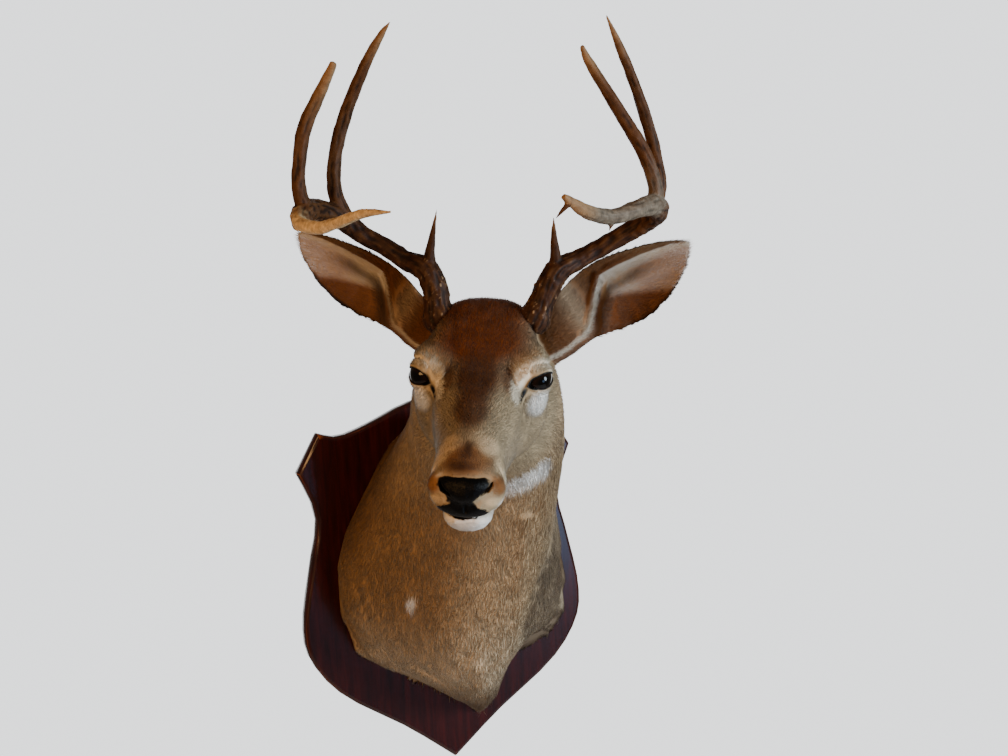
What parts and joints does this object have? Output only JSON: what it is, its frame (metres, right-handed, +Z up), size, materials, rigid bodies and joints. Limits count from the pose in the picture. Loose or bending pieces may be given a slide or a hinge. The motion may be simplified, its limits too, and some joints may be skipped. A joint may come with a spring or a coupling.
{
  "type": "deer shoulder mount",
  "caption": "Life-size shoulder mount of a white-tailed buck with antlers, head turned and lowered a little, fixed to a shield-shaped wooden wall plaque.",
  "frame": {"origin": "on the plaque's flat back face, at half its height and width, where the back meets the wall", "axes": "+Z up, +Y into the wall, +X to the viewer's right; the deer's left side is at +X"},
  "size_m": [0.4574, 0.5925, 0.9292],
  "materials": {
    "mahogany": "dark red mahogany under gloss lacquer",
    "body_coat": "short flat winter hair, tan brown",
    "face_coat": "very short flat hair, brown with pale rings and patches",
    "chin_coat": "short white hair",
    "ear_coat": "brown outside, pale hair inside",
    "nose_skin": "black, pebbled, with a soft gloss",
    "eye_glass": "polished black-brown glass eye",
    "antler": "bone, dark brown and grooved, worn pale at the tips"
  },
  "bodies": {
    "root": {"antler_left_base": "antler", "antler_left_beam_tip": "antler", "antler_left_bend": "antler", "antler_left_brow_tine": "antler", "antler_left_front_tine": "antler", "antler_left_lower_beam": "antler", "antler_left_rear_tine": "antler", "antler_right_base": "antler", "antler_right_beam_tip": "antler", "antler_right_bend": "antler", "antler_right_brow_tine": "antler", "antler_right_front_tine": "antler", "antler_right_lower_beam": "antler", "antler_right_rear_tine": "antler", "chest": "body_coat", "ear_left": "ear_coat", "ear_right": "ear_coat", "eye_left": "eye_glass", "eye_right": "eye_glass", "head": "face_coat", "lower_jaw": "chin_coat", "neck": "body_coat", "nose_pad": "nose_skin", "plaque": "mahogany", "shoulder_left": "body_coat", "shoulder_right": "body_coat"}
  },
  "joints": []
}
